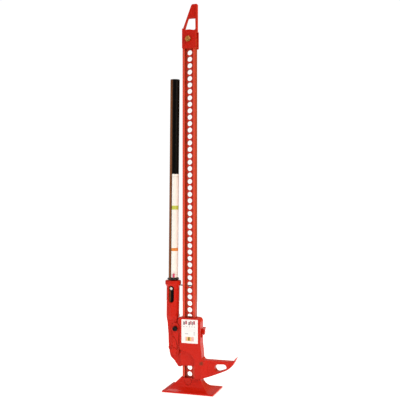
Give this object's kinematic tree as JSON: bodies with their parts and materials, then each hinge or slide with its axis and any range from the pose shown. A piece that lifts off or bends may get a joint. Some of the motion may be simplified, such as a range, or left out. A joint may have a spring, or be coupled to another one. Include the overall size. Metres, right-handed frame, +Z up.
{
  "type": "toe jack",
  "caption": "Tall rack jack: a drilled steel bar on a base plate, twin runners with a lifting toe, a long tube handle and a swivelling top clevis.",
  "frame": {"origin": "the bar's axis where it meets the ground, at the underside of the base plate", "axes": "+Z up along the bar, +X towards the tip of the nose, -Y to the front with the runner label"},
  "size_m": [0.2393, 0.112, 1.2364],
  "materials": {
    "red_paint": "glossy red enamel over rough castings",
    "bar_paint": "glossy red enamel over rolled steel, worn at the holes",
    "zinc_plate": "yellowed zinc plate",
    "bare_steel": "bare machined steel with a film of oil",
    "black_oxide": "black oxide",
    "black_coat": "black powder coat",
    "clip_wire": "black dipped wire",
    "vinyl": "soft red vinyl",
    "handle_sticker": "glossy white film with two plain colour bands",
    "runner_sticker": "glossy white film with plain printed blocks"
  },
  "bodies": {
    "bar": {"steel_standard": "bar_paint", "base_plate": "red_paint", "base_pin": "red_paint", "base_pin_clip": "zinc_plate"},
    "clevis": {"top_clamp_clevis": "red_paint", "clevis_bolt": "zinc_plate", "clevis_nut": "zinc_plate"},
    "small_runner": {"small_runner": "red_paint", "handle_pivot_pin": "red_paint", "lower_pin_spring": "bare_steel", "lower_pin_cap": "red_paint"},
    "lower_pin": {"lower_climbing_pin": "bare_steel", "lower_cross_pin": "red_paint"},
    "large_runner": {"large_runner": "red_paint", "shear_bolt": "black_oxide", "shear_nut": "zinc_plate", "runner_label": "runner_sticker", "latch_pin": "red_paint", "latch_spring": "red_paint", "upper_pin_spring": "bare_steel", "upper_pin_cap": "red_paint"},
    "upper_pin": {"upper_climbing_pin": "bare_steel", "upper_cross_pin": "red_paint"},
    "pitmans": {"front_pitman": "red_paint", "rear_pitman": "red_paint"},
    "latch": {"reversing_latch": "red_paint"},
    "handle": {"handle_socket": "red_paint", "handle_tube": "black_coat", "handle_bolt": "zinc_plate", "handle_nut": "zinc_plate", "handle_label": "handle_sticker", "pitman_pins": "red_paint"},
    "clip": {"handle_clip": "clip_wire", "clip_sleeve": "vinyl"}
  },
  "joints": [
    {"name": "runner_travel", "type": "slide", "parent": "bar", "child": "small_runner", "axis": [0, 0, 1], "range_m": [0, 0.8255]},
    {"name": "handle_swing", "type": "hinge", "parent": "small_runner", "child": "handle", "pos_m": [-0.056, 0, 0.136], "axis": [0, -1, 0], "range_deg": [0, 95]},
    {"name": "large_runner_stroke", "type": "slide", "parent": "small_runner", "child": "large_runner", "axis": [0, 0, 1], "range_m": [0, 0.0207]},
    {"name": "pitman_swing", "type": "hinge", "parent": "large_runner", "child": "pitmans", "pos_m": [-0.043, 0, 0.198], "axis": [0, -1, 0], "range_deg": [0, 1.5]},
    {"name": "latch_turn", "type": "hinge", "parent": "large_runner", "child": "latch", "pos_m": [0.0409, 0.008, 0.187], "axis": [-1, 0, 0], "range_deg": [0, 45]},
    {"name": "upper_pin_slide", "type": "slide", "parent": "large_runner", "child": "upper_pin", "axis": [0, -1, 0], "range_m": [0, 0.0112], "deforming": ["upper_pin_spring"]},
    {"name": "lower_pin_slide", "type": "slide", "parent": "small_runner", "child": "lower_pin", "axis": [0, -1, 0], "range_m": [0, 0.0112], "deforming": ["lower_pin_spring"]},
    {"name": "clevis_turn", "type": "hinge", "parent": "bar", "child": "clevis", "pos_m": [0, 0, 1.12415], "axis": [0, 1, 0], "range_deg": [0, 90]},
    {"name": "clip_swivel", "type": "hinge", "parent": "handle", "child": "clip", "pos_m": [-0.0575, 0, 0.3], "axis": [0.0105, 0, 0.9999], "range_deg": [0, 80]}
  ],
  "couplings": [
    {"joint": "large_runner_stroke", "follows": "handle_swing", "m_per_rad": 0.012447},
    {"joint": "pitman_swing", "follows": "handle_swing", "ratio": 0.0134},
    {"joint": "upper_pin_slide", "follows": "latch_turn", "m_per_rad": 0.014006},
    {"joint": "lower_pin_slide", "follows": "latch_turn", "m_per_rad": 0.014006}
  ]
}
